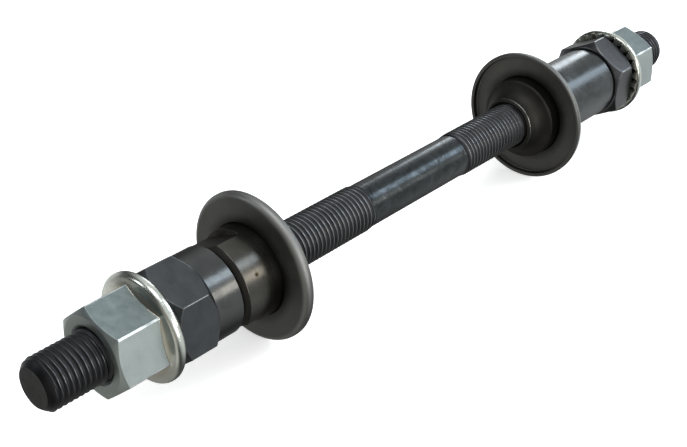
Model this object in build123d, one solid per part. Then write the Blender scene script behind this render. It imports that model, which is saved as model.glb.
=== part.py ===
from build123d import *
import math
import os

# Rear hub axle set: a threaded axle that carries, on each side of the wheel,
# a bearing cone with a pressed dust cap, a lock nut and a flanged axle nut.
# All sizes in millimetres. The axle lies along Y with its middle at the
# origin. The left (plain) side is at -Y, the right (freewheel) side at +Y.

# Axle
axle_length = 185.0
thread_diameter = 9.525
thread_bore_clearance = 0.04
bore_chamfer = 0.5
shank_diameter = 9.0
tip_face_diameter = 7.3
left_thread_length = 76.0
right_thread_length = 80.4
thread_runout = 0.5

# Where the lock nuts stand on the axle
over_lock_nuts = 141.0
left_stub = 22.85

# Axle nut: hexagon with a conical flange and a serrated bearing face
nut_across_flats = 15.0
nut_height = 11.65
nut_chamfer_diameter = 14.2
nut_chamfer_angle = 30.0
nut_countersink_diameter = 11.0
flange_diameter = 20.3
flange_rim_thickness = 2.2
flange_rim_radius = 1.0
flange_slope = 24.0
serration_count = 24
serration_phase = 11.25
serration_inner_diameter = 14.0
serration_width = 1.1
serration_depth = 0.35
left_nut_turn = 41.1
right_nut_turn = 37.0

# Lock nuts
lock_nut_across_flats = 17.0
lock_nut_chamfer_diameter = 16.6
lock_nut_chamfer_angle = 45.0
lock_nut_edge_break = 0.4
left_lock_nut_hex_length = 8.4
left_lock_nut_barrel_length = 6.0
left_lock_nut_barrel_diameter = 16.85
left_lock_nut_turn = 37.7
right_lock_nut_thickness = 7.0
right_lock_nut_turn = 26.7

# Tube that spaces the right lock nut away from the cone
right_spacer_length = 18.4
right_spacer_diameter = 15.9
right_spacer_edge_break = 0.35

# Bearing cones
cone_diameter = 17.8
cone_edge_chamfer = 0.8
cone_shoulder_chamfer = 0.35
nose_length = 4.1
nose_rim_diameter = 12.0
nose_face_diameter = 11.0
nose_rim_bevel = 0.45
nose_countersink_diameter = 10.5
race_radius = 3.4
race_land = 0.25
cap_seat_length = 3.05
left_cone_barrel_length = 8.65
right_cone_barrel_length = 5.4
cone_flats_across = 15.0
cone_flats_length = 6.0
cone_flats_turn = 117.0

# Dust caps
cap_diameter = 28.9
cap_sheet = 0.9
cap_rim_bend = 1.25
cap_rim_wall = 0.4
cap_lip_round = 0.35
cap_hole_outer_round = 0.5
cap_hole_inner_round = 0.25

# Sizes that follow from the ones above
thread_radius = thread_diameter / 2
bore_radius = thread_radius + thread_bore_clearance
left_tip = -axle_length / 2
right_tip = axle_length / 2
left_face = left_tip + left_stub
right_face = left_face + over_lock_nuts
left_lock_nut_length = left_lock_nut_hex_length + left_lock_nut_barrel_length
nose_to_cap_face = nose_length + cap_seat_length + cap_sheet
cap_depth = cap_rim_bend + cap_rim_wall + cap_lip_round
left_cone_end = left_face + left_lock_nut_length
right_cone_end = right_face - right_lock_nut_thickness - right_spacer_length


def turned(*segments):
    """A solid of revolution about the axle, from the edges of its half section."""
    section = make_face(Curve() + list(segments))
    return revolve(section, Axis.Y)


def turned_outline(points):
    """A solid of revolution about the axle, from (radius, height) corners."""
    return revolve(make_face(Polyline(*points, close=True)), Axis.Y)


def quarter_round(centre, radius, first, second):
    """A quarter circle about a (radius, height) centre, from one direction to the next.

    first and second are unit directions along the two axes, such as (1, 0) and (0, -1).
    """
    diagonal = math.sqrt(0.5)
    start = (centre[0] + radius * first[0], centre[1] + radius * first[1])
    end = (centre[0] + radius * second[0], centre[1] + radius * second[1])
    middle = (
        centre[0] + radius * diagonal * (first[0] + second[0]),
        centre[1] + radius * diagonal * (first[1] + second[1]),
    )
    return ThreePointArc(start, middle, end)


def hexagon_bar(across_flats, height, turn):
    """A hexagonal bar standing on y = 0, one corner turned from +X towards +Z."""
    base = Plane(origin=(0, 0, 0), x_dir=(1, 0, 0), z_dir=(0, 1, 0))
    outline = RegularPolygon(across_flats / 2, 6, major_radius=False, rotation=-turn)
    return extrude(base * outline, height)


def double_coned(height, low_radius, high_radius, angle, reach):
    """A turned blank whose two ends taper, which cuts a bar's end corners.

    low_radius and high_radius are where the tapers start on the two faces;
    None leaves that end square.
    """
    rise = math.tan(math.radians(angle))
    points = [(0, 0)]
    if low_radius is None:
        points.append((reach, 0))
    else:
        points.append((low_radius, 0))
        points.append((reach, (reach - low_radius) * rise))
    if high_radius is None:
        points.append((reach, height))
    else:
        points.append((reach, height - (reach - high_radius) * rise))
        points.append((high_radius, height))
    points.append((0, height))
    return turned_outline(points)


def threaded_bore(length):
    """What a threaded bore through a piece of this length removes, mouths included."""
    mouth = bore_radius + bore_chamfer
    points = [
        (0, 0),
        (mouth, 0),
        (bore_radius, bore_chamfer),
        (bore_radius, length - bore_chamfer),
        (mouth, length),
        (0, length),
    ]
    return turned_outline(points)


def mirrored(solid):
    """The same piece facing the other end of the axle."""
    return mirror(solid, Plane.XZ)


def make_axle():
    """One rod: threaded at both ends, with a plain shank and chamfered tips."""
    shank_radius = shank_diameter / 2
    tip_radius = tip_face_diameter / 2
    chamfer = thread_radius - tip_radius
    step = thread_radius - shank_radius
    left_thread_end = left_tip + left_thread_length
    right_thread_end = right_tip - right_thread_length
    points = [
        (0, left_tip),
        (tip_radius, left_tip),
        (thread_radius, left_tip + chamfer),
        (thread_radius, left_thread_end - thread_runout),
        (shank_radius, left_thread_end - thread_runout + step),
        (shank_radius, right_thread_end + thread_runout - step),
        (thread_radius, right_thread_end + thread_runout),
        (thread_radius, right_tip - chamfer),
        (tip_radius, right_tip),
        (0, right_tip),
    ]
    return turned_outline(points)


def serration_cutter():
    """One V groove across the bearing face, which runs out on the flange's rounded rim."""
    inner = serration_inner_diameter / 2
    half = serration_width / 2
    start = Plane(origin=(inner, 0, 0), x_dir=(0, 0, 1), z_dir=(1, 0, 0))
    groove = Polyline((-half, 0), (half, 0), (0, serration_depth), close=True)
    return extrude(start * make_face(groove), flange_diameter / 2 - inner)


def nut_flange():
    """The conical flange, its bearing face at y = 0 and its rim rounded over."""
    flat_radius = nut_across_flats / 2
    rim_radius = flange_diameter / 2
    rim_round = flange_rim_radius
    corner = rim_radius - rim_round
    top_round = flange_rim_thickness - rim_round
    slope = math.tan(math.radians(flange_slope))
    height = flange_rim_thickness + (corner - flat_radius) * slope
    return turned(
        Line((0, 0), (corner, 0)),
        quarter_round((corner, rim_round), rim_round, (0, -1), (1, 0)),
        Line((rim_radius, rim_round), (rim_radius, top_round)),
        quarter_round((corner, top_round), rim_round, (1, 0), (0, 1)),
        Line((corner, flange_rim_thickness), (flat_radius, height)),
        Line((flat_radius, height), (0, height)),
        Line((0, height), (0, 0)),
    )


def make_axle_nut(turn):
    """Flanged axle nut standing on its bearing face at y = 0, hexagon towards +Y."""
    bar = hexagon_bar(nut_across_flats, nut_height, turn)
    chamfer_radius = nut_chamfer_diameter / 2
    blank = double_coned(
        nut_height, None, chamfer_radius, nut_chamfer_angle, nut_across_flats
    )
    sink_radius = nut_countersink_diameter / 2
    sink_floor = nut_height - (sink_radius - bore_radius)
    countersink = turned_outline(
        [
            (0, sink_floor),
            (bore_radius, sink_floor),
            (sink_radius, nut_height),
            (0, nut_height),
        ]
    )
    nut = nut_flange() + (bar & blank)
    nut -= threaded_bore(nut_height)
    nut -= countersink
    groove = serration_cutter()
    for index in range(serration_count):
        around = turn + serration_phase + index * 360 / serration_count
        nut -= groove.rotate(Axis.Y, -around)
    return nut


def make_left_lock_nut():
    """Long lock nut: a chamfered hexagon outboard, a turned barrel inboard."""
    chamfer_radius = lock_nut_chamfer_diameter / 2
    barrel_radius = left_lock_nut_barrel_diameter / 2
    edge = lock_nut_edge_break
    length = left_lock_nut_length
    hex_length = left_lock_nut_hex_length
    bar = hexagon_bar(lock_nut_across_flats, hex_length, left_lock_nut_turn)
    blank = double_coned(
        hex_length, chamfer_radius, barrel_radius, lock_nut_chamfer_angle, lock_nut_across_flats
    )
    barrel = turned_outline(
        [
            (0, hex_length / 2),
            (barrel_radius, hex_length / 2),
            (barrel_radius, length - edge),
            (barrel_radius - edge, length),
            (0, length),
        ]
    )
    nut = (bar & blank) + barrel
    return nut - threaded_bore(length)


def make_right_lock_nut():
    """Plain hexagonal lock nut, chamfered on both faces."""
    chamfer_radius = lock_nut_chamfer_diameter / 2
    thickness = right_lock_nut_thickness
    bar = hexagon_bar(lock_nut_across_flats, thickness, right_lock_nut_turn)
    blank = double_coned(
        thickness, chamfer_radius, chamfer_radius, lock_nut_chamfer_angle, lock_nut_across_flats
    )
    return (bar & blank) - threaded_bore(thickness)


def make_right_spacer():
    """Plain tube with broken edges."""
    radius = right_spacer_diameter / 2
    edge = right_spacer_edge_break
    length = right_spacer_length
    points = [
        (0, 0),
        (radius - edge, 0),
        (radius, edge),
        (radius, length - edge),
        (radius - edge, length),
        (0, length),
    ]
    return turned_outline(points) - threaded_bore(length)


def make_cone(barrel_length, flats_length):
    """Bearing cone with its nose at y = 0 and its barrel towards +Y."""
    radius = cone_diameter / 2
    shoulder = cone_shoulder_chamfer
    length = nose_to_cap_face + barrel_length
    edge = cone_edge_chamfer
    rim = nose_rim_diameter / 2
    face = nose_face_diameter / 2
    sink = nose_countersink_diameter / 2
    mouth = bore_radius + bore_chamfer
    race_low = (rim, nose_rim_bevel + race_land)
    race_high = (radius - shoulder, nose_length)
    race_middle = arc_middle(race_low, race_high, race_radius)
    cone = turned(
        Line((bore_radius, sink - bore_radius), (sink, 0)),
        Line((sink, 0), (face, 0)),
        Line((face, 0), (rim, nose_rim_bevel)),
        Line((rim, nose_rim_bevel), race_low),
        ThreePointArc(race_low, race_middle, race_high),
        Line(race_high, (radius, nose_length + shoulder)),
        Line((radius, nose_length + shoulder), (radius, length - edge)),
        Line((radius, length - edge), (radius - edge, length)),
        Line((radius - edge, length), (mouth, length)),
        Line((mouth, length), (bore_radius, length - bore_chamfer)),
        Line((bore_radius, length - bore_chamfer), (bore_radius, sink - bore_radius)),
    )
    if flats_length > 0:
        cone -= wrench_flats(length - flats_length, length)
    return cone


def arc_middle(low, high, radius):
    """The middle of a hollow arc between two (radius, height) points."""
    middle = Vector((low[0] + high[0]) / 2, (low[1] + high[1]) / 2)
    chord = Vector(high[0] - low[0], high[1] - low[1])
    half = chord.length / 2
    sagitta = radius - math.sqrt(radius**2 - half**2)
    inward = Vector(-chord.Y, chord.X).normalized()
    point = middle + inward * sagitta
    return (point.X, point.Y)


def wrench_flats(low, high):
    """Two blocks that mill the spanner flats on a cone's barrel."""
    reach = cone_diameter
    offset = cone_flats_across / 2 + reach / 2
    block = Box(reach, high - low, 2 * reach).translate((offset, (low + high) / 2, 0))
    pair = block + block.rotate(Axis.Y, 180)
    return pair.rotate(Axis.Y, -cone_flats_turn)


def make_dust_cap():
    """Pressed cap with its outer face at y = 0 and its lip turned towards -Y."""
    outer = cap_diameter / 2
    inner = outer - cap_sheet
    hole = cone_diameter / 2
    bend = cap_rim_bend
    corner = outer - bend
    lip = cap_lip_round
    lip_floor = -cap_depth + lip
    outer_round = cap_hole_outer_round
    inner_round = cap_hole_inner_round
    return turned(
        Line((hole, -cap_sheet + inner_round), (hole, -outer_round)),
        quarter_round((hole + outer_round, -outer_round), outer_round, (-1, 0), (0, 1)),
        Line((hole + outer_round, 0), (corner, 0)),
        quarter_round((corner, -bend), bend, (0, 1), (1, 0)),
        Line((outer, -bend), (outer, lip_floor)),
        quarter_round((outer - lip, lip_floor), lip, (1, 0), (0, -1)),
        Line((outer - lip, -cap_depth), (inner, -cap_depth)),
        Line((inner, -cap_depth), (inner, -bend)),
        quarter_round((corner, -bend), bend - cap_sheet, (1, 0), (0, 1)),
        Line((corner, -cap_sheet), (hole + inner_round, -cap_sheet)),
        quarter_round(
            (hole + inner_round, -cap_sheet + inner_round), inner_round, (0, -1), (-1, 0)
        ),
    )


def along(solid, height):
    """The piece moved along the axle."""
    return solid.translate((0, height, 0))


left_nose = left_cone_end + left_cone_barrel_length + nose_to_cap_face
right_nose = right_cone_end - right_cone_barrel_length - nose_to_cap_face

left_axle_nut = along(mirrored(make_axle_nut(left_nut_turn)), left_face)
right_axle_nut = along(make_axle_nut(right_nut_turn), right_face)
left_lock_nut = along(make_left_lock_nut(), left_face)
right_lock_nut = along(make_right_lock_nut(), right_face - right_lock_nut_thickness)
right_spacer = along(make_right_spacer(), right_cone_end)
left_cone = along(mirrored(make_cone(left_cone_barrel_length, cone_flats_length)), left_nose)
right_cone = along(make_cone(right_cone_barrel_length, 0), right_nose)
left_dust_cap = along(mirrored(make_dust_cap()), left_nose - nose_to_cap_face)
right_dust_cap = along(make_dust_cap(), right_nose + nose_to_cap_face)

nodes = {
    "axle": make_axle(),
    "left_axle_nut": left_axle_nut,
    "left_lock_nut": left_lock_nut,
    "left_cone": left_cone,
    "left_dust_cap": left_dust_cap,
    "right_cone": right_cone,
    "right_dust_cap": right_dust_cap,
    "right_spacer": right_spacer,
    "right_lock_nut": right_lock_nut,
    "right_axle_nut": right_axle_nut,
}

os.makedirs("parts", exist_ok=True)
for name, piece in nodes.items():
    export_step(piece, f"parts/{name}.step")
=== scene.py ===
import math

import bmesh
import bpy
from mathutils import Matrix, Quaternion, Vector


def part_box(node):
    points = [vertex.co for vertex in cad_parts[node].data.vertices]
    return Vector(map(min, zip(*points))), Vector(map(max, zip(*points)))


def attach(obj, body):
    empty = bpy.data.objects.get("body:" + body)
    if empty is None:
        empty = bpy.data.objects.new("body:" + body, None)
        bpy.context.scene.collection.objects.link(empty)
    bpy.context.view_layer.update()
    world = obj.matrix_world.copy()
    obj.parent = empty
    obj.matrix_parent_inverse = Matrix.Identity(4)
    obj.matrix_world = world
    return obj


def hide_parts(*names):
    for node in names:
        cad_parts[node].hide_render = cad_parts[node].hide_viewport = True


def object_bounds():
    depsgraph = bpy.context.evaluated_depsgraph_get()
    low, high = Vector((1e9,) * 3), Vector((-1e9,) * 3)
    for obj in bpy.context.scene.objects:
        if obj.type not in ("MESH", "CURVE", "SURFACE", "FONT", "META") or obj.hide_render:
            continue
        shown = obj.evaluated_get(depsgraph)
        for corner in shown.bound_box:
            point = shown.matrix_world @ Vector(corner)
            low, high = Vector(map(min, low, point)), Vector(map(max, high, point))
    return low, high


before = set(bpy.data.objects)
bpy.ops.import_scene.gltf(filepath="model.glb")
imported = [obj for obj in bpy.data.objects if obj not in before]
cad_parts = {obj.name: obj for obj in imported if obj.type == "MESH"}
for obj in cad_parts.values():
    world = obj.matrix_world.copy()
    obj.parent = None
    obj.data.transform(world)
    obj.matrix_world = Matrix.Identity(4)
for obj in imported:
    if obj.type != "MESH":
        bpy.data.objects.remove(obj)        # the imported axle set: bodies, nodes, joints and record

cadLow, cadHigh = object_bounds()
mm = 0.001
scene = bpy.context.scene
print("frame loaded")


# camera

cameraData = {
    "place": (0.13413, -0.16993, 0.11618),
    "looks": (-0.577, 0.640, -0.507),
    "lens": 63.285,
    "sensor": 36.0,
}


def makeCamera():
    lens = bpy.data.cameras.new("photoCamera")
    lens.lens = cameraData["lens"]
    lens.sensor_width = cameraData["sensor"]
    lens.sensor_fit = "HORIZONTAL"
    lens.clip_start = 0.01
    camera = bpy.data.objects.new("photoCamera", lens)
    scene.collection.objects.link(camera)
    camera.location = cameraData["place"]
    camera.rotation_mode = "QUATERNION"
    camera.rotation_quaternion = Vector(cameraData["looks"]).to_track_quat("-Z", "Y")
    scene.camera = camera


makeCamera()
print("camera placed")


# building blocks for materials

def put(tree, kind, sockets=None, **settings):
    node = tree.nodes.new(kind)
    for key, value in settings.items():
        setattr(node, key, value)
    for label, value in (sockets or {}).items():
        if isinstance(value, bpy.types.NodeSocket):
            tree.links.new(value, node.inputs[label])
        else:
            node.inputs[label].default_value = value
    return node


def blendColour(tree, share, below, above, mode="MIX"):
    sockets = {0: share, 6: below, 7: above}    # factor, A and B of the colour sockets
    return put(tree, "ShaderNodeMix", sockets, data_type="RGBA", blend_type=mode).outputs[2]


def stretch(tree, value, low, high, toLow=0.0, toHigh=1.0, smooth=False):
    kind = "SMOOTHSTEP" if smooth else "LINEAR"
    sockets = {"Value": value, "From Min": low, "From Max": high, "To Min": toLow, "To Max": toHigh}
    return put(tree, "ShaderNodeMapRange", sockets, interpolation_type=kind).outputs[0]


def combine(tree, operation, first, second=0.0, third=0.0):
    return put(tree, "ShaderNodeMath", {0: first, 1: second, 2: third}, operation=operation).outputs[0]


def newGroup(name, wants, gives):
    group = bpy.data.node_groups.new(name, "ShaderNodeTree")
    for label, value in wants.items():
        socket = group.interface.new_socket(label, in_out="INPUT", socket_type="NodeSocketFloat")
        socket.default_value = value
    for label in gives:
        group.interface.new_socket(label, in_out="OUTPUT", socket_type="NodeSocketFloat")
    return group, group.nodes.new("NodeGroupInput"), group.nodes.new("NodeGroupOutput")


def mixValues(tree, share, below, above):
    return put(tree, "ShaderNodeMix", {0: share, 2: below, 3: above}).outputs[0]


def tint(tree, share, colour, over):
    # lays a colour of three numbers over another one
    return blendColour(tree, share, colour, (*over, 1))


def noiseAt(tree, place, scale, detail, roughness=0.5, distortion=0.0):
    sockets = {"Vector": place, "Scale": scale, "Detail": detail, "Roughness": roughness,
               "Distortion": distortion}
    return put(tree, "ShaderNodeTexNoise", sockets).outputs[0]


def readMark(tree, name):
    # one of the marks that the pieces carry on their faces
    return put(tree, "ShaderNodeAttribute", attribute_name=name).outputs["Fac"]


def objectPlace(tree):
    return put(tree, "ShaderNodeTexCoord").outputs["Object"]


def placeParts(tree, place):
    return put(tree, "ShaderNodeSeparateXYZ", {0: place}).outputs    # X, Y along the axle, and Z


def fromCentreLine(tree, parts):
    across = put(tree, "ShaderNodeCombineXYZ", {"X": parts["X"], "Z": parts["Z"]}).outputs[0]
    return put(tree, "ShaderNodeVectorMath", {0: across}, operation="LENGTH").outputs["Value"]


def directionRound(tree, parts, radius):
    # how far a point lies towards +X and towards +Z of the centre line, each from -1 to 1
    return combine(tree, "DIVIDE", parts["X"], radius), combine(tree, "DIVIDE", parts["Z"], radius)


def spanFrom(start, span):
    # two places in metres, from a start in metres and two distances in mm
    return start + span[0] * mm, start + span[1] * mm


def cloudsGroup():
    # broad stains and fine specks
    group, wants, gives = newGroup("surfaceClouds", {"Scale": 150.0, "Speck Scale": 2600.0},
                                   ["Clouds", "Specks"])
    place = objectPlace(group)
    broad = noiseAt(group, place, wants.outputs["Scale"], detail=5.0, roughness=0.62, distortion=0.4)
    fine = noiseAt(group, place, wants.outputs["Speck Scale"], detail=3.0, roughness=0.6)
    group.links.new(stretch(group, broad, low=0.34, high=0.68), gives.inputs["Clouds"])
    group.links.new(stretch(group, fine, low=0.3, high=0.72), gives.inputs["Specks"])
    return group


def toolMarksGroup():
    # fine rings left by the lathe: they run round the axle on walls and faces alike
    group, wants, gives = newGroup("toolMarks", {"Density": 6000.0, "Break Up": 2.0}, ["Marks"])
    parts = placeParts(group, objectPlace(group))
    radius = fromCentreLine(group, parts)
    east, up = directionRound(group, parts, radius)
    along = combine(group, "MULTIPLY", parts["Y"], wants.outputs["Density"])
    outward = combine(group, "MULTIPLY", radius, wants.outputs["Density"])
    side = combine(group, "MULTIPLY", east, wants.outputs["Break Up"])
    rise = combine(group, "MULTIPLY", up, wants.outputs["Break Up"])
    spot = put(group, "ShaderNodeCombineXYZ", {"X": outward, "Y": along, "Z": side}).outputs[0]
    sockets = {"Vector": spot, "W": rise, "Scale": 1.0, "Detail": 3.0, "Roughness": 0.7}
    rings = put(group, "ShaderNodeTexNoise", sockets, noise_dimensions="4D").outputs[0]
    group.links.new(stretch(group, rings, low=0.3, high=0.7), gives.inputs["Marks"])
    return group


scratchData = {
    # how each set of scratches is turned, and how far it is drawn out
    "sets": [((0.4, 0.9, 0.2), (1.0, 14.0, 1.0)), ((1.3, 0.2, 0.8), (1.0, 1.0, 17.0))],
    "halfWidth": 0.012,
}


def scratchesGroup():
    # thin handling scratches in two directions
    group, wants, gives = newGroup("scratches", {"Scale": 260.0}, ["Lines"])
    place = objectPlace(group)
    found = []
    for turn, drawn in scratchData["sets"]:
        sockets = {"Vector": place, "Rotation": turn, "Scale": drawn}
        turned = put(group, "ShaderNodeMapping", sockets).outputs[0]
        waves = noiseAt(group, turned, wants.outputs["Scale"], detail=2.0, distortion=0.6)
        apart = combine(group, "ABSOLUTE", combine(group, "SUBTRACT", waves, 0.5))
        found.append(stretch(group, apart, 0.0, scratchData["halfWidth"], 1.0, 0.0))
    group.links.new(combine(group, "MAXIMUM", found[0], found[1]), gives.inputs["Lines"])
    return group


def edgesGroup():
    # the marks made with the bevels: edgeWearAndSheen on outer edges, which is wear and a painted
    # highlight along them, edgeGrime in inner ones
    group, wants, gives = newGroup("edges", {"WearAndSheen": 1.0, "Grime": 1.0, "Scale": 700.0},
                                   ["WearAndSheen", "Grime"])
    patches = noiseAt(group, objectPlace(group), wants.outputs["Scale"], detail=4.0)
    uneven = stretch(group, patches, low=0.3, high=0.62)
    for label, mark in (("WearAndSheen", "edgeWearAndSheen"), ("Grime", "edgeGrime")):
        broken = combine(group, "MULTIPLY", readMark(group, mark), uneven)
        group.links.new(combine(group, "MULTIPLY", broken, wants.outputs[label]), gives.inputs[label])
    return group


clouds, toolMarks, scratches, edges = cloudsGroup(), toolMarksGroup(), scratchesGroup(), edgesGroup()

bumpUnit = 0.01 * mm     # what a bump height of 1 stands for
turnedRings = 0.05       # roughness that the lathe's rings add to a polished face
grimeRough = 0.35        # roughness that grime adds to an inner edge


def steelFinish(name, look, extra=None):
    material = bpy.data.materials.new(name)
    material.use_nodes = True
    tree = material.node_tree
    shader = tree.nodes["Principled BSDF"]
    shader.inputs["Metallic"].default_value = look["metallic"]
    stain = put(tree, "ShaderNodeGroup", {"Scale": look["cloudScale"]}, node_tree=clouds).outputs
    sockets = {"Density": look["ringDensity"], "Break Up": look["ringBreakUp"]}
    ring = put(tree, "ShaderNodeGroup", sockets, node_tree=toolMarks).outputs["Marks"]
    line = put(tree, "ShaderNodeGroup", node_tree=scratches).outputs["Lines"]
    sockets = {"WearAndSheen": look["wear"], "Grime": look["grime"], "Scale": look["wearScale"]}
    edge = put(tree, "ShaderNodeGroup", sockets, node_tree=edges).outputs
    colour = blendColour(tree, stain["Clouds"], (*look["dark"], 1), (*look["light"], 1))
    speckled = combine(tree, "MULTIPLY", stain["Specks"], look["speck"])
    colour = tint(tree, speckled, colour, look["light"])
    rough = stretch(tree, stain["Clouds"], 0.0, 1.0, look["smooth"], look["rough"])
    rough = combine(tree, "ADD", rough, combine(tree, "MULTIPLY", ring, look["ringRough"]))
    height = combine(tree, "MULTIPLY", ring, look["ringDepth"])
    height = combine(tree, "MULTIPLY_ADD", stain["Specks"], look["speckDepth"], height)
    height = combine(tree, "MULTIPLY_ADD", line, -look["scratchDepth"], height)
    if "turnedRough" in look:
        turned = readMark(tree, "turned")
        polish = combine(tree, "MULTIPLY_ADD", ring, turnedRings, look["turnedRough"])
        polished = blendColour(tree, stain["Clouds"], (*look["turnedDark"], 1),
                               (*look["turnedLight"], 1))
        colour = blendColour(tree, turned, colour, polished)
        rough = mixValues(tree, turned, rough, polish)
    if extra:
        colour, rough, height = extra(tree, colour, rough, height)
    # outer edges: wear, and a painted highlight along them
    colour = tint(tree, edge["WearAndSheen"], colour, look["wornAndSheen"])
    colour = tint(tree, edge["Grime"], colour, look["dirt"])
    rough = combine(tree, "MULTIPLY_ADD", edge["Grime"], grimeRough, rough)
    bump = put(tree, "ShaderNodeBump", {"Height": height, "Distance": bumpUnit, "Strength": 1.0})
    tree.links.new(colour, shader.inputs["Base Color"])
    tree.links.new(rough, shader.inputs["Roughness"])
    tree.links.new(bump.outputs[0], shader.inputs["Normal"])
    return material


# colours are reflectances; depths are bump heights in hundredths of a millimetre
# wornAndSheen is the colour of rounded outer edges: wear, and a painted highlight along them
zincLook = {
    "dark": (0.225, 0.255, 0.250), "light": (0.285, 0.320, 0.314),
    "wornAndSheen": (0.66, 0.69, 0.69), "dirt": (0.06, 0.055, 0.04),
    "turnedDark": (0.36, 0.375, 0.345), "turnedLight": (0.46, 0.48, 0.45), "turnedRough": 0.15,
    "metallic": 1.0, "smooth": 0.40, "rough": 0.52, "cloudScale": 190.0, "speck": 0.25,
    "ringDensity": 5200.0, "ringBreakUp": 1.6, "ringRough": 0.04, "ringDepth": 0.10,
    "speckDepth": 0.30, "scratchDepth": 0.25, "wear": 1.0, "wearScale": 300.0, "grime": 0.5,
}
slateLook = {
    "dark": (0.040, 0.043, 0.046), "light": (0.052, 0.056, 0.059),
    "wornAndSheen": (0.17, 0.172, 0.175), "dirt": (0.01, 0.01, 0.01),
    "turnedDark": (0.050, 0.052, 0.052), "turnedLight": (0.066, 0.068, 0.067), "turnedRough": 0.17,
    "metallic": 1.0, "smooth": 0.32, "rough": 0.40, "cloudScale": 240.0, "speck": 0.3,
    "ringDensity": 4200.0, "ringBreakUp": 1.2, "ringRough": 0.04, "ringDepth": 0.08,
    "speckDepth": 0.40, "scratchDepth": 0.2, "wear": 0.9, "wearScale": 420.0, "grime": 0.2,
}
plumLook = {
    "dark": (0.040, 0.041, 0.043), "light": (0.056, 0.057, 0.060),
    "wornAndSheen": (0.42, 0.43, 0.43), "dirt": (0.01, 0.01, 0.01),
    "metallic": 1.0, "smooth": 0.26, "rough": 0.34, "cloudScale": 240.0, "speck": 0.3,
    "ringDensity": 4200.0, "ringBreakUp": 1.2, "ringRough": 0.04, "ringDepth": 0.08,
    "speckDepth": 0.30, "scratchDepth": 0.2, "wear": 0.9, "wearScale": 420.0, "grime": 0.2,
}
tubeLook = {
    "dark": (0.029, 0.032, 0.033), "light": (0.060, 0.065, 0.069),
    "wornAndSheen": (0.20, 0.21, 0.215), "dirt": (0.01, 0.01, 0.01),
    "metallic": 1.0, "smooth": 0.14, "rough": 0.29, "cloudScale": 170.0, "speck": 0.08,
    "ringDensity": 2600.0, "ringBreakUp": 3.5, "ringRough": 0.03, "ringDepth": 0.05,
    "speckDepth": 0.02, "scratchDepth": 0.04, "wear": 0.5, "wearScale": 700.0, "grime": 0.9,
}
coneLook = {
    "dark": (0.021, 0.0205, 0.019), "light": (0.031, 0.030, 0.027),
    "wornAndSheen": (0.16, 0.16, 0.15), "dirt": (0.01, 0.009, 0.008),
    "turnedDark": (0.045, 0.044, 0.039), "turnedLight": (0.064, 0.061, 0.055), "turnedRough": 0.22,
    "metallic": 1.0, "smooth": 0.52, "rough": 0.62, "cloudScale": 210.0, "speck": 0.15,
    "ringDensity": 5600.0, "ringBreakUp": 0.9, "ringRough": 0.04, "ringDepth": 0.06,
    "speckDepth": 0.20, "scratchDepth": 0.15, "wear": 0.9, "wearScale": 700.0, "grime": 0.9,
}
capLook = {
    "dark": (0.084, 0.084, 0.081), "light": (0.120, 0.120, 0.116),
    "wornAndSheen": (0.16, 0.16, 0.16), "dirt": (0.006, 0.006, 0.005),
    "metallic": 1.0, "smooth": 0.42, "rough": 0.54, "cloudScale": 120.0, "speck": 0.25,
    "ringDensity": 1500.0, "ringBreakUp": 0.8, "ringRough": 0.04, "ringDepth": 0.08,
    "speckDepth": 0.30, "scratchDepth": 0.15, "wear": 0.3, "wearScale": 700.0, "grime": 0.8,
}
threadLook = {
    "dark": (0.044, 0.045, 0.048), "light": (0.064, 0.065, 0.070),
    "wornAndSheen": (0.12, 0.12, 0.122), "dirt": (0.01, 0.01, 0.01),
    "metallic": 1.0, "smooth": 0.38, "rough": 0.50, "cloudScale": 300.0, "speck": 0.2,
    "ringDensity": 2600.0, "ringBreakUp": 5.0, "ringRough": 0.05, "ringDepth": 0.08,
    "speckDepth": 0.30, "scratchDepth": 0.2, "wear": 0.6, "wearScale": 700.0, "grime": 0.0,
}


# building blocks for shapes

def hexagonReach(angle, acrossFlats, turn):
    aside = (angle - turn) % 60 - 30     # degrees from the middle of the flat
    return acrossFlats / 2 / math.cos(math.radians(aside))


def arcRings(centre, radius, start, end, steps):
    # points of a profile along an arc; angles in degrees from straight outwards towards +height
    found = []
    for step in range(steps + 1):
        angle = math.radians(start + (end - start) * step / steps)
        found.append((centre[0] + radius * math.cos(angle), centre[1] + radius * math.sin(angle)))
    return found


# in the dictionaries of the shapes, lengths are in mm and angles in degrees
boreRadius = 4.8025              # threaded bores are this wide over the thread's crests
mergeReach = 0.002 * mm          # points nearer than this become one
softenAngle = math.radians(22)   # edges bent more than this are rounded
sharpAngle = math.radians(42)    # edges bent more than this are shaded sharp
alongShare = 0.98                # how much of an edge along the axle runs that way
sideNormal = 0.15                # how far the normal of a side face may lean along the axle


def boreMouth(edge):
    # the chamfered mouth of a bore, at height 0
    return [(boreRadius, edge), (boreRadius + edge, 0.0)]


def boreEnd(edge, height):
    return [(boreRadius + edge, height), (boreRadius, height - edge)]


def spinRings(rings, steps, turn, place, facing):
    # a ring is (radius, height), or a function of the angle that gives the two, in mm. The line of
    # rings is spun round the axle, then each point goes to its ring's radius and height there.
    shape = bmesh.new()
    start = math.radians(turn)
    line = [shape.verts.new((math.cos(start), index, math.sin(start))) for index in range(len(rings))]
    chain = [shape.edges.new(pair) for pair in zip(line, line[1:] + line[:1])]
    bmesh.ops.spin(shape, geom=line + chain, cent=(0, 0, 0), axis=(0, 1, 0), angle=math.tau,
                   steps=steps, use_merge=True)
    for point in shape.verts:
        ring = rings[round(point.co.y)]
        bearing = math.atan2(point.co.z, point.co.x)
        radius, height = ring(math.degrees(bearing)) if callable(ring) else ring
        reach = radius * mm
        point.co = (reach * math.cos(bearing), place + facing * height * mm, reach * math.sin(bearing))
    bmesh.ops.remove_doubles(shape, verts=shape.verts, dist=mergeReach)
    bmesh.ops.recalc_face_normals(shape, faces=shape.faces)
    return shape


def faceMark(shape, name):
    return shape.faces.layers.float.get(name) or shape.faces.layers.float.new(name)


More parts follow.
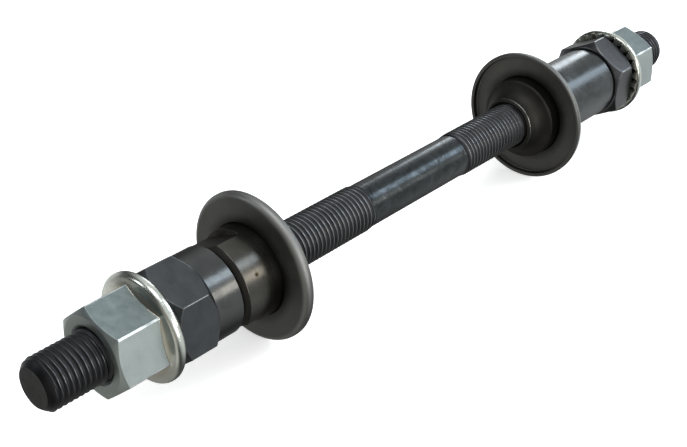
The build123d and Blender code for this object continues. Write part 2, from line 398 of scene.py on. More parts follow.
def markFaces(shape, name, share):
    # a mark on whole faces, which the materials read; share gets a face's distance from the centre
    # line in mm, its angle round it in degrees, its place along it and its normal, and gives 0 to 1
    mark = faceMark(shape, name)
    shape.normal_update()
    for face in shape.faces:
        middle = face.calc_center_median()
        angle = math.degrees(math.atan2(middle.z, middle.x))
        face[mark] = float(share(math.hypot(middle.x, middle.z) / mm, angle, middle.y, face.normal))


def roundEdges(shape, edges, width, segments, clamp=False):
    made = bmesh.ops.bevel(shape, geom=edges, offset=width * mm, offset_type="OFFSET",
                           segments=segments, profile=0.5, affect="EDGES", material=-1,
                           clamp_overlap=clamp)
    return made["faces"]


def softenEdges(shape, width, outer=True, wornAndSheen=1.0, segments=2, keep=None):
    # rounds the outer edges or the inner ones, and marks the new faces for the materials
    mark = faceMark(shape, "edgeWearAndSheen" if outer else "edgeGrime")
    shape.normal_update()
    chosen = []
    for edge in shape.edges:
        bend = edge.calc_face_angle_signed(0.0)
        if abs(bend) > softenAngle and (bend > 0) == outer and (keep is None or keep(edge)):
            chosen.append(edge)
    if chosen:
        made = roundEdges(shape, chosen, width, segments)
        shape.normal_update()
        for face in made:
            face[mark] = 1.0 if abs(face.normal.y) < sideNormal else wornAndSheen    # side edges get the full mark: on outer edges the most wear and painted highlight


def alongAxle(edge):
    first, second = (point.co for point in edge.verts)
    return abs(first.y - second.y) > alongShare * (first - second).length


def finishPiece(name, shape, material, node, body):
    for face in shape.faces:
        face.smooth = True
    shape.normal_update()
    for edge in shape.edges:
        edge.smooth = edge.calc_face_angle(0.0) < sharpAngle
    mesh = bpy.data.meshes.new(name)
    shape.to_mesh(mesh)
    shape.free()
    piece = bpy.data.objects.new(name, mesh)
    scene.collection.objects.link(piece)
    mesh.materials.append(material)
    even = piece.modifiers.new("evenShading", "WEIGHTED_NORMAL")
    even.keep_sharp = True
    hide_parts(node)
    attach(piece, body)
    print(name, "has", len(mesh.polygons), "faces")


def ends(node):
    low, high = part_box(node)
    return low.y, high.y


# axle

axleData = {
    "pitch": 25.4 / 24,
    "crestRadius": 4.7625,
    "rootRadius": 4.24,
    "shankRadius": 4.5,
    "tipRadius": 3.65,
    "tipRound": 0.3,
    "leftThread": 76.0,
    "rightThread": 80.4,
    "runOut": 1.3,
    "stepsPerTurn": 48,
    "turnsBefore": 2, "spareTurns": 3,    # turns that are cut off at the ends
    # one pitch of the thread: share of the pitch, share of the depth
    "profile": [(0.0, 0.97), (0.07, 1.0), (0.14, 0.97), (0.43, 0.08), (0.57, 0.0), (0.71, 0.08)],
}


def makeAxle(data):
    low, high = ends("axle")
    pitch = data["pitch"] * mm
    depth = data["crestRadius"] - data["rootRadius"]
    shape = bmesh.new()
    line = []
    for share, rise in data["profile"] + [(1.0, data["profile"][0][1])]:
        radius = data["rootRadius"] + depth * rise
        line.append(shape.verts.new((radius * mm, low + (share - data["turnsBefore"]) * pitch, 0)))
    chain = [shape.edges.new(pair) for pair in zip(line, line[1:])]
    bmesh.ops.spin(shape, geom=line + chain, cent=(0, 0, 0), axis=(0, 1, 0), angle=math.tau,
                   dvec=(0, pitch / data["stepsPerTurn"], 0), steps=data["stepsPerTurn"])
    oneTurn = shape.verts[:] + shape.edges[:] + shape.faces[:]
    turns = math.ceil((high - low) / pitch) + data["spareTurns"]
    for number in range(1, turns):
        made = bmesh.ops.duplicate(shape, geom=oneTurn)
        copies = [item for item in made["geom"] if isinstance(item, bmesh.types.BMVert)]
        bmesh.ops.translate(shape, verts=copies, vec=(0, pitch * number, 0))
    threadMerge, cutReach = 0.003 * mm, 0.0005 * mm
    bmesh.ops.remove_doubles(shape, verts=shape.verts, dist=threadMerge)
    for height, side in ((low, -1), (high, 1)):
        everything = shape.verts[:] + shape.edges[:] + shape.faces[:]
        bmesh.ops.bisect_plane(shape, geom=everything, dist=cutReach, plane_co=(0, height, 0),
                               plane_no=(0, side, 0), clear_outer=True)
    leftEnd = low + data["leftThread"] * mm
    rightStart = high - data["rightThread"] * mm
    for point in shape.verts:
        across = Vector((point.co.x, 0, point.co.z))
        radius = across.length / mm
        threaded = max((leftEnd - point.co.y) / mm, (point.co.y - rightStart) / mm) / data["runOut"]
        threaded = min(1.0, max(0.0, threaded))
        radius = data["shankRadius"] + (radius - data["shankRadius"]) * threaded
        fromTip = min(point.co.y - low, high - point.co.y) / mm
        radius = min(radius, data["tipRadius"] + max(0.0, fromTip))
        across *= radius * mm / across.length
        point.co = (across.x, point.co.y, across.z)
    bmesh.ops.remove_doubles(shape, verts=shape.verts, dist=threadMerge)
    openEdges = [edge for edge in shape.edges if len(edge.link_faces) == 1]
    caps = bmesh.ops.holes_fill(shape, edges=openEdges)["faces"]
    rims = [edge for face in caps for edge in face.edges]
    roundEdges(shape, rims, data["tipRound"], segments=3, clamp=True)
    for point in shape.verts:
        point.co.y = min(high, max(low, point.co.y))
    bmesh.ops.recalc_face_normals(shape, faces=shape.faces)
    return shape


# reaches in mm, from an end of the axle or of its thread, and for crests from the centre line
axleWear = {
    "nearStub": (10.5, 13.0), "farStub": (-11.5, -9.0), "stubShare": 0.5,
    "stub": (0.012, 0.012, 0.014),
    "tipReach": (0.2, 1.4), "tipShare": 0.86, "tip": (0.010, 0.010, 0.011),
    # crest: the crests' colour, rubbed and with a painted highlight
    "crestReach": (4.68, 4.75), "crest": (0.125, 0.127, 0.133),
    # between the nuts, and on the stubs outside them
    "crestShares": (0.75, 0.35), "crestRough": (-0.17, -0.27),
    "leftRunOut": (-1.0, -0.6), "rightRunOut": (0.6, 1.0),
    "shankDark": (0.016, 0.018, 0.019), "shankLight": (0.040, 0.045, 0.048),
    "shankRough": (0.30, 0.17),
}


def axleExtra(tree, colour, rough, height):
    # crests are rubbed, and painted brighter as a highlight, less so outside the nuts; the near tip is
    # dark and the shank is a clouded blue grey
    wear = axleWear
    place = objectPlace(tree)
    parts = placeParts(tree, place)
    along = parts["Y"]
    low, high = ends("axle")
    nearStub = stretch(tree, along, *spanFrom(low, wear["nearStub"]), 1.0, 0.0)
    farStub = stretch(tree, along, *spanFrom(high, wear["farStub"]))
    stub = combine(tree, "MAXIMUM", nearStub, farStub)
    tip = stretch(tree, along, *spanFrom(low, wear["tipReach"]), wear["tipShare"], 0.0, smooth=True)
    colour = tint(tree, tip, colour, wear["tip"])
    colour = tint(tree, combine(tree, "MULTIPLY", stub, wear["stubShare"]), colour, wear["stub"])
    radius = fromCentreLine(tree, parts)
    # the crests: rubbed, with a painted highlight
    crest = stretch(tree, radius, *spanFrom(0, wear["crestReach"]), smooth=True)
    rubbedSheen = combine(tree, "MULTIPLY", crest, stretch(tree, stub, 0.0, 1.0, *wear["crestShares"]))
    colour = tint(tree, rubbedSheen, colour, wear["crest"])
    rubbedRough = stretch(tree, stub, 0.0, 1.0, *wear["crestRough"])
    rough = combine(tree, "MULTIPLY_ADD", crest, rubbedRough, rough)
    leftEnd = low + axleData["leftThread"] * mm
    rightStart = high - axleData["rightThread"] * mm
    afterLeft = stretch(tree, along, *spanFrom(leftEnd, wear["leftRunOut"]))
    beforeRight = stretch(tree, along, *spanFrom(rightStart, wear["rightRunOut"]), 1.0, 0.0)
    shank = combine(tree, "MULTIPLY", afterLeft, beforeRight)
    bloom = noiseAt(tree, place, scale=420.0, detail=7.0, roughness=0.65, distortion=0.8)
    cloud = stretch(tree, bloom, low=0.36, high=0.66)
    bloomed = blendColour(tree, cloud, (*wear["shankDark"], 1), (*wear["shankLight"], 1))
    colour = blendColour(tree, shank, colour, bloomed)
    rough = mixValues(tree, shank, rough, stretch(tree, bloom, 0.3, 0.7, *wear["shankRough"]))
    return colour, rough, height


finishPiece("threadedAxle", makeAxle(axleData), steelFinish("blackOxide", threadLook, axleExtra),
            "axle", "axle_set")


# axle nuts

nutData = {
    "acrossFlats": 15.0, "height": 11.65, "steps": 192,
    "chamferRadius": 7.1, "chamferSlope": 30.0, "sinkRadius": 5.5,
    "rimRadius": 10.15, "rimRound": 1.0, "rimThickness": 2.2, "flangeSlope": 24.0,
    "teeth": 24, "toothPhase": 11.25, "toothInner": 7.0, "toothWidth": 1.1, "toothDepth": 0.35,
    "boreEdge": 0.5, "edge": 0.10, "cornerEdge": 0.24,
    "landStep": 0.05,      # the grooves start this far outside the plain land
    "sharpHeight": 1.3,    # edges nearer the bearing face than this aren't rounded
    "flangeFoot": 0.7,     # the flange is bright up to this far above its rim
    "faceDepth": 0.05,     # the bearing face, which isn't bright
    "upShadeStart": 0.2, "upShadeSpan": 0.6,    # how far up a face looks, where its painted shade starts and how it grows
    # painted shade on the bearing face: how high it reaches, how far inside the teeth, the groove depth
    # where it deepens, and its strength in grooves and on lands
    "shadeHeight": 0.8, "shadeMargin": 0.1, "grooveThreshold": 0.03, "grooveShade": 0.85, "landShade": 0.5,
    "rimWearAndSheen": 0.12,
}


def grooveDepth(data, turn, angle, radius):
    spacing = 360 / data["teeth"]
    aside = (angle - turn - data["toothPhase"] + spacing / 2) % spacing - spacing / 2
    away = abs(math.radians(aside)) * radius
    return data["toothDepth"] * max(0.0, 1 - away / (data["toothWidth"] / 2))


def nutRings(data, turn):
    corner = data["rimRadius"] - data["rimRound"]
    slope = math.tan(math.radians(data["flangeSlope"]))
    chamfer = math.tan(math.radians(data["chamferSlope"]))

    def reach(angle):
        return hexagonReach(angle, data["acrossFlats"], turn)

    def foot(angle):
        return data["rimThickness"] + (corner - reach(angle)) * slope

    def shoulder(angle):
        return data["height"] - (reach(angle) - data["chamferRadius"]) * chamfer

    def cut(radius, height):
        return lambda angle: (radius, max(height, grooveDepth(data, turn, angle, radius)))

    rings = boreMouth(data["boreEdge"]) + [(data["toothInner"] - data["landStep"], 0.0)]
    rings += [cut(data["toothInner"], 0.0), cut((data["toothInner"] + corner) / 2, 0.0)]
    rings += [cut(radius, height) for radius, height in
              arcRings((corner, data["rimRound"]), data["rimRound"], -90, 0, steps=6)]
    rings += arcRings((corner, data["rimThickness"] - data["rimRound"]), data["rimRound"], 0, 90, steps=6)
    rings += [lambda angle: ((corner + reach(angle)) / 2, (data["rimThickness"] + foot(angle)) / 2)]
    rings += [lambda angle: (reach(angle), foot(angle)), lambda angle: (reach(angle), shoulder(angle))]
    rings += [(data["chamferRadius"], data["height"]), (data["sinkRadius"], data["height"])]
    rings += [(boreRadius, data["height"] - (data["sinkRadius"] - boreRadius))]
    return rings


def makeNut(data, turn, place, facing):
    shape = spinRings(nutRings(data, turn), data["steps"], turn, place, facing)

    def awayFromTeeth(edge):
        return all(abs(point.co.y - place) > data["sharpHeight"] * mm for point in edge.verts)

    def hexagonCorner(edge):
        return awayFromTeeth(edge) and alongAxle(edge)

    def onFlange(radius, angle, height, normal):
        rise = abs(height - place) / mm
        onRim = data["faceDepth"] < rise < data["rimThickness"] + data["flangeFoot"]
        return radius > data["acrossFlats"] / 2 and onRim

    # flats that face up are marked for a painted shade
    def facingUp(radius, angle, height, normal):
        if onFlange(radius, angle, height, normal):
            return 0.0
        return min(1.0, max(0.0, (normal.z - data["upShadeStart"]) / data["upShadeSpan"]))

    def shadedBearing(radius, angle, height, normal):
        # painted shade: darkest in the serrations, lighter on the lands between them
        inner = data["toothInner"] - data["shadeMargin"]
        if radius < inner or abs(height - place) > data["shadeHeight"] * mm:
            return 0.0
        inGroove = grooveDepth(data, turn, angle, radius) > data["grooveThreshold"]
        return data["grooveShade"] if inGroove else data["landShade"]

    softenEdges(shape, data["cornerEdge"], segments=3, keep=hexagonCorner)
    softenEdges(shape, data["edge"], wornAndSheen=data["rimWearAndSheen"], keep=awayFromTeeth)
    softenEdges(shape, data["edge"], outer=False, keep=awayFromTeeth)
    markFaces(shape, "turned", onFlange)
    markFaces(shape, "upShade", facingUp)
    markFaces(shape, "bearingShade", shadedBearing)
    return shape


# reaches in mm from the centre line
zincWear = {
    # upShaded: painted shade on the flats that face up
    "upShadeShares": (0.62, 0.92), "upShaded": (0.105, 0.130, 0.135), "ragged": 1.2,
    # stain: a brown stain with painted shade round the foot of the hexagon
    "stainShadeReach": (8.9, 9.7), "stainShadeShare": 0.55, "stain": (0.32, 0.295, 0.225),
    # bearingShadeTone: painted shade on the bearing face under the rim
    "bearingShadeReach": (9.3, 10.0), "bearingShadeShares": (0.85, 0.5), "bearingShadeTone": (0.060, 0.055, 0.040),
}


def zincExtra(tree, colour, rough, height):
    # painted shade darkens the flats that face up, the flange has a brown stain with painted shade round
    # the hexagon, and painted shade lies in the serrations and on the bearing face
    wear = zincWear
    place = objectPlace(tree)
    blotch = noiseAt(tree, place, scale=620.0, detail=5.0)
    # painted shade on the flats that face up
    uneven = stretch(tree, blotch, 0.3, 0.7, *wear["upShadeShares"])
    upShaded = combine(tree, "MULTIPLY", readMark(tree, "upShade"), uneven)
    colour = tint(tree, upShaded, colour, wear["upShaded"])
    radius = fromCentreLine(tree, placeParts(tree, place))
    ragged = combine(tree, "MULTIPLY_ADD", blotch, wear["ragged"] * mm, radius)
    # a brown stain with painted shade round the foot of the hexagon
    nearHexagon = stretch(tree, ragged, *spanFrom(0, wear["stainShadeReach"]), wear["stainShadeShare"], 0.0,
                          smooth=True)
    stainShaded = combine(tree, "MULTIPLY", readMark(tree, "turned"), nearHexagon)
    colour = tint(tree, stainShaded, colour, wear["stain"])
    # painted shade on the bearing face under the rim
    underRim = stretch(tree, ragged, *spanFrom(0, wear["bearingShadeReach"]), *wear["bearingShadeShares"], smooth=True)
    shadedBearing = combine(tree, "MINIMUM", readMark(tree, "bearingShade"), underRim)
    colour = tint(tree, shadedBearing, colour, wear["bearingShadeTone"])
    return colour, rough, height


zinc = steelFinish("zincPlate", zincLook, zincExtra)
finishPiece("leftFlangeNut", makeNut(nutData, 41.1, ends("left_axle_nut")[1], -1), zinc,
            "left_axle_nut", "left_nut")
finishPiece("rightFlangeNut", makeNut(nutData, 37.0, ends("right_axle_nut")[0], 1), zinc,
            "right_axle_nut", "right_nut")


# lock nuts

lockNutData = {
    "acrossFlats": 17.0, "steps": 144, "chamferRadius": 8.3, "boreEdge": 0.5,
    # the left one, with its barrel
    "hexLength": 8.4, "length": 14.4, "barrelRadius": 8.425, "barrelEdge": 0.4, "barrelStep": 0.1,
    "edge": 0.11, "wornAndSheen": 0.25,
    # the right one, a plain hexagon
    "plainLength": 7.0, "plainEdge": 0.2, "plainWearAndSheen": 0.08,
}


def lockNutRings(data, turn, barrel):
    hexEnd = data["hexLength"] if barrel else data["plainLength"]
    end = data["length"] if barrel else hexEnd
    innerRadius = data["barrelRadius"] if barrel else data["chamferRadius"]

    def lowEdge(angle):
        reach = hexagonReach(angle, data["acrossFlats"], turn)
        return reach, reach - data["chamferRadius"]

    def highEdge(angle):
        reach = hexagonReach(angle, data["acrossFlats"], turn)
        return reach, hexEnd - (reach - innerRadius)

    rings = boreMouth(data["boreEdge"])
    rings += [(data["chamferRadius"], 0.0), lowEdge, highEdge, (innerRadius, hexEnd)]
    if barrel:
        rings += [(innerRadius, (hexEnd + end) / 2), (innerRadius, end - data["barrelEdge"]),
                  (innerRadius - data["barrelEdge"], end)]
    return rings + boreEnd(data["boreEdge"], end)


def makeLockNut(data, turn, place, barrel):
    shape = spinRings(lockNutRings(data, turn, barrel), data["steps"], turn, place, 1)
    if barrel:
        softenEdges(shape, data["edge"], wornAndSheen=data["wornAndSheen"])
    else:
        softenEdges(shape, data["plainEdge"], wornAndSheen=data["plainWearAndSheen"])
    softenEdges(shape, data["edge"], outer=False)

    def onBarrel(radius, angle, height, normal):
        return height > place + (data["hexLength"] + data["barrelStep"]) * mm

    if barrel:
        markFaces(shape, "turned", onBarrel)
    return shape


finishPiece("leftLockNut", makeLockNut(lockNutData, 37.7, ends("left_lock_nut")[0], True),
            steelFinish("slateSteel", slateLook), "left_lock_nut", "axle_set")
finishPiece("rightLockNut", makeLockNut(lockNutData, 26.7, ends("right_lock_nut")[0], False),
            steelFinish("plumSteel", plumLook), "right_lock_nut", "axle_set")


# spacer tube

spacerData = {
    "radius": 7.95, "length": 18.4, "edge": 0.35, "edgeRound": 0.06, "boreEdge": 0.5, "steps": 120,
}


def makeSpacer(data, place):
    rings = boreMouth(data["boreEdge"]) + [(data["radius"] - data["edge"], 0.0)]
    for share in (0.0, 0.25, 0.5, 0.75, 1.0):
        rings.append((data["radius"], data["edge"] + (data["length"] - 2 * data["edge"]) * share))
    rings.append((data["radius"] - data["edge"], data["length"]))
    rings += boreEnd(data["boreEdge"], data["length"])
    shape = spinRings(rings, data["steps"], 0, place, 1)
    softenEdges(shape, data["edgeRound"])
    return shape


tubeWear = {
    "drawn": 0.12, "streak": (0.075, 0.081, 0.084), "share": 0.22, "rough": 0.05, "depth": 0.04,
}


def tubeExtra(tree, colour, rough, height):
    # drawn streaks that run along the tube
    sockets = {"Vector": objectPlace(tree), "Scale": (1.0, tubeWear["drawn"], 1.0)}
    drawn = put(tree, "ShaderNodeMapping", sockets).outputs[0]
    grain = noiseAt(tree, drawn, scale=1500.0, detail=4.0, roughness=0.6)
    streaks = stretch(tree, grain, low=0.35, high=0.65)
    share = combine(tree, "MULTIPLY", streaks, tubeWear["share"])
    colour = tint(tree, share, colour, tubeWear["streak"])
    rough = combine(tree, "MULTIPLY_ADD", streaks, tubeWear["rough"], rough)
    height = combine(tree, "MULTIPLY_ADD", streaks, tubeWear["depth"], height)
    return colour, rough, height


finishPiece("rightSpacerTube", makeSpacer(spacerData, ends("right_spacer")[0]),
            steelFinish("bluedTube", tubeLook, tubeExtra), "right_spacer", "axle_set")


# bearing cones

coneData = {
    "radius": 8.9, "edge": 0.8, "shoulder": 0.35, "steps": 120, "boreEdge": 0.5,
    "noseLength": 4.1, "rimRadius": 6.0, "faceRadius": 5.5, "rimBevel": 0.45, "sinkRadius": 5.25,
    "raceRadius": 3.4, "raceSteps": 10, "raceLand": 0.25, "seat": 3.95, "edgeRound": 0.09,
    "flatsReach": 7.5, "flatsLength": 6.0, "flatsTurn": 117.0, "flatsHalfAngle": 80.0,
    "landMargin": 0.1, "flatNormal": 0.9995, "endNormal": 0.99,
    "pitPlace": 3.65, "pitTurn": 31.0,
}


def raceRings(data):
    # the hollow arc that the balls run in, from the nose's rim to the shoulder
    low = Vector((data["rimRadius"], data["rimBevel"] + data["raceLand"]))
    high = Vector((data["radius"] - data["shoulder"], data["noseLength"]))
    chord = high - low
    rise = math.sqrt(data["raceRadius"] ** 2 - (chord.length / 2) ** 2)
    outward = Vector((chord.y, -chord.x)).normalized()
    centre = (low + high) / 2 + outward * rise
    start = math.degrees(math.atan2(low.y - centre.y, low.x - centre.x))
    end = math.degrees(math.atan2(high.y - centre.y, high.x - centre.x))
    if end - start > 180:
        end -= 360
    if start - end > 180:
        end += 360
    return arcRings(centre, data["raceRadius"], start, end, data["raceSteps"])


def coneRings(data, barrelLength, flats):
    barrelStart = data["noseLength"] + data["shoulder"]
    seatEnd = data["noseLength"] + data["seat"]
    length = seatEnd + barrelLength
    flatStart = length - data["flatsLength"]

    def milled(radius, height):
        # a ring of the barrel that the two spanner flats cut
        def ring(angle):
            aside = (angle - data["flatsTurn"] + 90) % 180 - 90
            if abs(aside) >= data["flatsHalfAngle"]:
                return radius, height
            return min(radius, data["flatsReach"] / math.cos(math.radians(aside))), height
        return ring

    rings = [(boreRadius, data["sinkRadius"] - boreRadius), (data["sinkRadius"], 0.0),
             (data["faceRadius"], 0.0), (data["rimRadius"], data["rimBevel"])]
    rings += raceRings(data)
    rings += [(data["radius"], barrelStart), (data["radius"], seatEnd)]
    barrelEnd = [(data["radius"], length - data["edge"]), (data["radius"] - data["edge"], length)]
    if flats:
        rings.append((data["radius"], flatStart))
        rings.append(milled(data["radius"], flatStart))
        rings += [milled(radius, height) for radius, height in barrelEnd]
    else:
        rings += barrelEnd
    return rings + boreEnd(data["boreEdge"], length)


def makeCone(data, barrelLength, flats, place, facing):
    rings = coneRings(data, barrelLength, flats)
    shape = spinRings(rings, data["steps"], data["flatsTurn"], place, facing)
    softenEdges(shape, data["edgeRound"])
    softenEdges(shape, data["edgeRound"], outer=False)
    turn = math.radians(data["flatsTurn"])
    across = Vector((math.cos(turn), 0, math.sin(turn)))
    landStart = data["rimBevel"] - data["landMargin"]
    landEnd = data["rimBevel"] + data["raceLand"] + data["landMargin"]
    barrelStart = data["noseLength"] + data["shoulder"]
    barrelEnd = data["noseLength"] + data["seat"] + barrelLength - data["edge"]

    def onLand(radius, angle, height, normal):
        return landStart < (height - place) * facing / mm < landEnd

    def polished(radius, angle, height, normal):
        onBarrel = barrelStart < (height - place) * facing / mm < barrelEnd
        return onBarrel or onLand(radius, angle, height, normal)

    def onFlats(radius, angle, height, normal):
        # the flats themselves and the end face
        onFlat = abs(normal.dot(across)) > data["flatNormal"]
        return flats and (onFlat or normal.y * facing > data["endNormal"])

    # the nose's land takes the outer edge colour: a painted highlight along the nose's rim
    markFaces(shape, "edgeWearAndSheen", onLand)
    markFaces(shape, "turned", polished)
    markFaces(shape, "milled", onFlats)
    return shape


# reaches in mm, of the grease and painted shade from the middle of a dust cap and of the pit from its own
# middle
coneWear = {
    "speckShare": 0.6, "speck": (0.020, 0.015, 0.010),
    "milledRough": 0.22, "milled": (0.026, 0.023, 0.020),
    "greaseShadeReach": (1.2, 4.2), "greaseShadeRagged": 1.2, "greaseShadeShare": 0.62, "greaseRough": 0.25,
    "greaseShade": (0.012, 0.012, 0.012),
    "pitRagged": 0.5, "haloReach": (0.45, 1.15), "haloShare": 0.5, "halo": (0.050, 0.038, 0.024),
    "pitReach": (0.38, 0.72), "pitShare": 0.75, "pit": (0.024, 0.017, 0.011),
    "pitRough": 0.3, "pitDepth": 3.0,
}


def coneExtra(tree, colour, rough, height):
    # fine rust specks, duller milled flats, and old grease with painted shade on both sides of the dust
    # cap
    wear = coneWear
    place = objectPlace(tree)
    specks = noiseAt(tree, place, scale=1500.0, detail=2.0)
    rust = stretch(tree, specks, low=0.66, high=0.72, toHigh=wear["speckShare"])
    colour = tint(tree, rust, colour, wear["speck"])
    milled = readMark(tree, "milled")
    colour = tint(tree, milled, colour, wear["milled"])
    rough = combine(tree, "MULTIPLY_ADD", milled, wear["milledRough"], rough)
    smears = noiseAt(tree, place, scale=420.0, detail=4.0)
    along = placeParts(tree, place)["Y"]
    # grease and painted shade on the cone at each dust cap
    for cap in ("left_dust_cap", "right_dust_cap"):
        low, high = ends(cap)
        away = combine(tree, "ABSOLUTE", combine(tree, "SUBTRACT", along, (low + high) / 2))
        ragged = combine(tree, "MULTIPLY_ADD", smears, wear["greaseShadeRagged"] * mm, away)
        greaseShaded = stretch(tree, ragged, *spanFrom(0, wear["greaseShadeReach"]), wear["greaseShadeShare"], 0.0,
                         smooth=True)
        colour = tint(tree, greaseShaded, colour, wear["greaseShade"])
        rough = combine(tree, "MULTIPLY_ADD", greaseShaded, wear["greaseRough"], rough)
    return colour, rough, height


def pitExtra(tree, colour, rough, height):
    # a small rust pit in the near cone's barrel, with a brown halo
    wear = coneWear
    colour, rough, height = coneExtra(tree, colour, rough, height)
    place = objectPlace(tree)
    bearing = math.radians(coneData["pitTurn"])
    reach = coneData["radius"] * mm
    pitPlace = ends("left_cone")[0] + coneData["pitPlace"] * mm
    sockets = {0: place, 1: (reach * math.cos(bearing), pitPlace, reach * math.sin(bearing))}
    away = put(tree, "ShaderNodeVectorMath", sockets, operation="DISTANCE").outputs["Value"]
    uneven = noiseAt(tree, place, scale=2600.0, detail=3.0)
    away = combine(tree, "MULTIPLY_ADD", uneven, wear["pitRagged"] * mm, away)
    halo = stretch(tree, away, *spanFrom(0, wear["haloReach"]), wear["haloShare"], 0.0, smooth=True)
    pit = stretch(tree, away, *spanFrom(0, wear["pitReach"]), wear["pitShare"], 0.0, smooth=True)
    colour = tint(tree, halo, colour, wear["halo"])
    colour = tint(tree, pit, colour, wear["pit"])
    rough = combine(tree, "MULTIPLY_ADD", pit, wear["pitRough"], rough)
    height = combine(tree, "MULTIPLY_ADD", pit, -wear["pitDepth"], height)
    return colour, rough, height


finishPiece("leftCone", makeCone(coneData, 8.65, True, ends("left_cone")[1], -1),
            steelFinish("pittedCone", coneLook, pitExtra), "left_cone", "axle_set")
finishPiece("rightCone", makeCone(coneData, 5.4, False, ends("right_cone")[0], 1),
            steelFinish("hardenedCone", coneLook, coneExtra), "right_cone", "axle_set")


# dust caps

capData = {
    "radius": 14.45, "sheet": 0.9, "bend": 1.25, "wall": 0.4, "lip": 0.35, "lipInner": 0.2,
    "hole": 8.9, "holeRound": 0.25, "steps": 160,
}


def makeCap(data, place, facing):
    # heights run from the outer face down towards the hub
    depth = data["bend"] + data["wall"] + data["lip"]
    corner = data["radius"] - data["bend"]
    inner = data["radius"] - data["sheet"]
    hole, lip = data["hole"] + data["holeRound"], data["lipInner"]
    rings = arcRings((hole, -data["holeRound"]), data["holeRound"], 180, 90, steps=4)
    rings += arcRings((corner, -data["bend"]), data["bend"], 90, 0, steps=8)
    rings += arcRings((data["radius"] - data["lip"], -depth + data["lip"]), data["lip"], 0, -90, steps=4)
    rings += arcRings((inner + lip, -depth + lip), lip, -90, -180, steps=3)
    rings += arcRings((corner, -data["bend"]), data["bend"] - data["sheet"], 0, 90, steps=4)
    rings += arcRings((hole, -data["sheet"] + data["holeRound"]), data["holeRound"], -90, -180, steps=3)
    return spinRings(rings, data["steps"], 0, place, facing)


# reaches in mm, from the centre line or from the outer faces of the caps
capWear = {
    # grease with painted shade near the cone, painted shade on the lower side, and a rubbed rim with a
    # painted highlight
    "greaseShadeReach": (9.3, 12.0), "greaseShadeRagged": 1.2, "greaseShadeShare": 0.80,
    "greaseShade": (0.016, 0.016, 0.016),
    "lowShadeShare": 0.25, "lowShade": (0.022, 0.022, 0.023),
    "leftOutside": (0.8, 1.4), "rightOutside": (-1.4, -0.8),
    # rim: rubbed, with a painted highlight
    "rimSheenReach": (13.3, 14.2), "rimSheenShare": 0.7, "rim": (0.23, 0.23, 0.225),
}


def capExtra(tree, colour, rough, height):
    # old grease with painted shade darkens the disc where it meets the cone, painted shade darkens its
    # lower side, and the rim is rubbed and painted lighter as a highlight
    wear = capWear
    place = objectPlace(tree)
    parts = placeParts(tree, place)
    radius = fromCentreLine(tree, parts)
    east, up = directionRound(tree, parts, radius)
    smears = noiseAt(tree, place, scale=320.0, detail=4.0)
    # grease and painted shade where the disc meets the cone
    ragged = combine(tree, "MULTIPLY_ADD", smears, wear["greaseShadeRagged"] * mm, radius)
    greaseShaded = stretch(tree, ragged, *spanFrom(0, wear["greaseShadeReach"]), wear["greaseShadeShare"], 0.0,
                     smooth=True)
    colour = tint(tree, greaseShaded, colour, wear["greaseShade"])
    # painted shade on the lower side
    downward = combine(tree, "SUBTRACT", east, up)
    lowShade = stretch(tree, downward, low=0.3, high=1.0, toHigh=wear["lowShadeShare"], smooth=True)
    colour = tint(tree, lowShade, colour, wear["lowShade"])
    low, high = ends("left_dust_cap")[0], ends("right_dust_cap")[1]
    leftOutside = stretch(tree, parts["Y"], *spanFrom(low, wear["leftOutside"]), 1.0, 0.0)
    rightOutside = stretch(tree, parts["Y"], *spanFrom(high, wear["rightOutside"]))
    outside = combine(tree, "MAXIMUM", leftOutside, rightOutside)
    # the rim: rubbed, and painted lighter as a highlight
    nearRim = stretch(tree, radius, *spanFrom(0, wear["rimSheenReach"]), 0.0, wear["rimSheenShare"], smooth=True)
    colour = tint(tree, combine(tree, "MULTIPLY", outside, nearRim), colour, wear["rim"])
    return colour, rough, height


cap = steelFinish("brownedCap", capLook, capExtra)
finishPiece("leftDustCap", makeCap(capData, ends("left_dust_cap")[0], -1), cap,
            "left_dust_cap", "axle_set")
finishPiece("rightDustCap", makeCap(capData, ends("right_dust_cap")[1], 1), cap,
            "right_dust_cap", "axle_set")


# studio

studioData = {
    "floorSize": 4.0, "floorColour": (0.82, 0.82, 0.82), "floorGlow": 0.5, "floorRough": 0.9,
    "grainScale": 900.0, "grainLift": 1.04,
    "backdrop": 1.0,
    "sky": 0.12,
    # name, middle, where it starts and is full (cosines), colour
    "skyParts": [
        ("openSide", (0.53, 0.63, 0.57), -0.12, 0.52, (1.00, 1.04, 1.04)),
        ("leftSide", (-0.98, 0.0, -0.25), 0.84, 0.97, (0.82, 0.86, 0.85)),
        ("nearSide", (-0.35, -0.60, -0.72), 0.55, 0.85, (0.36, 0.355, 0.33)),
        ("cameraSide", (0.55, -0.80, 0.15), 0.75, 0.95, (0.36, 0.335, 0.29)),
        ("underSide", (0.15, -0.88, -0.45), 0.80, 0.97, (0.42, 0.42, 0.39)),
    ],
    # name, direction from the object, distance, width, height, roll, brightness, colour
    "lights": [
        ("keyStrip", (0.44, 0.67, 0.60), 0.9, 0.25, 0.50, 32.0, 6.0, (0.76, 0.88, 1.0)),
        ("warmPanel", (0.76, 0.55, 0.34), 0.9, 0.24, 0.26, 0.0, 5.5, (1.0, 0.94, 0.86)),
        ("backPanel", (-0.49, 0.82, 0.42), 0.9, 0.24, 0.26, 0.0, 5.4, (0.88, 0.95, 1.0)),
        ("overhead", (0.12, -0.08, 1.0), 1.1, 0.6, 0.5, 0.0, 4.0, (1.0, 1.0, 1.0)),
        ("sidePanel", (0.93, 0.0, 0.20), 1.0, 0.5, 0.5, 0.0, 5.0, (1.0, 1.0, 1.0)),
        ("rearStrip", (-0.50, -0.66, 0.56), 0.9, 0.22, 0.40, 0.0, 3.2, (0.92, 0.97, 1.0)),
    ],
}


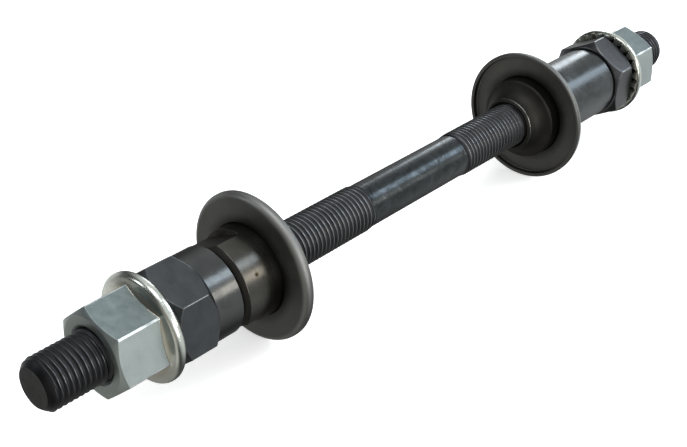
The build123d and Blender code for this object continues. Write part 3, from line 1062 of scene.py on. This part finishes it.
def makeFloor():
    shape = bmesh.new()
    bmesh.ops.create_grid(shape, x_segments=2, y_segments=2, size=studioData["floorSize"] / 2)
    bmesh.ops.translate(shape, verts=shape.verts, vec=(0, 0, cadLow.z))
    mesh = bpy.data.meshes.new("studioFloor")
    shape.to_mesh(mesh)
    shape.free()
    floor = bpy.data.objects.new("studioFloor", mesh)
    scene.collection.objects.link(floor)
    paper = bpy.data.materials.new("paperFloor")
    paper.use_nodes = True
    tree = paper.node_tree
    shader = tree.nodes["Principled BSDF"]
    grain = noiseAt(tree, objectPlace(tree), studioData["grainScale"], detail=3.0)
    base = studioData["floorColour"]
    lifted = [part * studioData["grainLift"] for part in base]
    tree.links.new(blendColour(tree, grain, (*base, 1), (*lifted, 1)), shader.inputs["Base Color"])
    shader.inputs["Roughness"].default_value = studioData["floorRough"]
    shader.inputs["Emission Color"].default_value = (1, 1, 1, 1)
    shader.inputs["Emission Strength"].default_value = studioData["floorGlow"]
    mesh.materials.append(paper)
    floor.visible_glossy = False    # the steel mirrors the studio instead


def makeLights():
    for name, way, away, width, height, roll, brightness, colour in studioData["lights"]:
        light = bpy.data.lights.new(name, "AREA")
        light.shape = "RECTANGLE"
        light.size, light.size_y = width, height
        light.energy = brightness * 4 * width * height    # makes brightness the panel's radiance
        light.color = colour
        lamp = bpy.data.objects.new(name, light)
        scene.collection.objects.link(lamp)
        lamp.location = Vector(way).normalized() * away
        lamp.rotation_mode = "QUATERNION"
        facing = (-Vector(way)).to_track_quat("-Z", "Y")
        lamp.rotation_quaternion = facing @ Quaternion((0, 0, 1), math.radians(roll))


def makeSky():
    sky = bpy.data.worlds.new("studioSky")
    sky.use_nodes = True
    scene.world = sky
    tree = sky.node_tree
    way = put(tree, "ShaderNodeTexCoord").outputs["Generated"]
    glow = put(tree, "ShaderNodeRGB").outputs[0]
    glow.default_value = (*[studioData["sky"]] * 3, 1)
    for name, middle, start, full, colour in studioData["skyParts"]:
        sockets = {0: way, 1: Vector(middle).normalized()}
        towards = put(tree, "ShaderNodeVectorMath", sockets, operation="DOT_PRODUCT").outputs["Value"]
        share = stretch(tree, towards, start, full, smooth=True)
        glow = blendColour(tree, share, glow, (*colour, 1), mode="ADD")
    isCamera = put(tree, "ShaderNodeLightPath").outputs["Is Camera Ray"]
    shown = blendColour(tree, isCamera, glow, (*[studioData["backdrop"]] * 3, 1))
    tree.links.new(shown, tree.nodes["Background"].inputs["Color"])


makeFloor()
makeLights()
makeSky()
scene.view_settings.view_transform = "Standard"
print("studio lit")
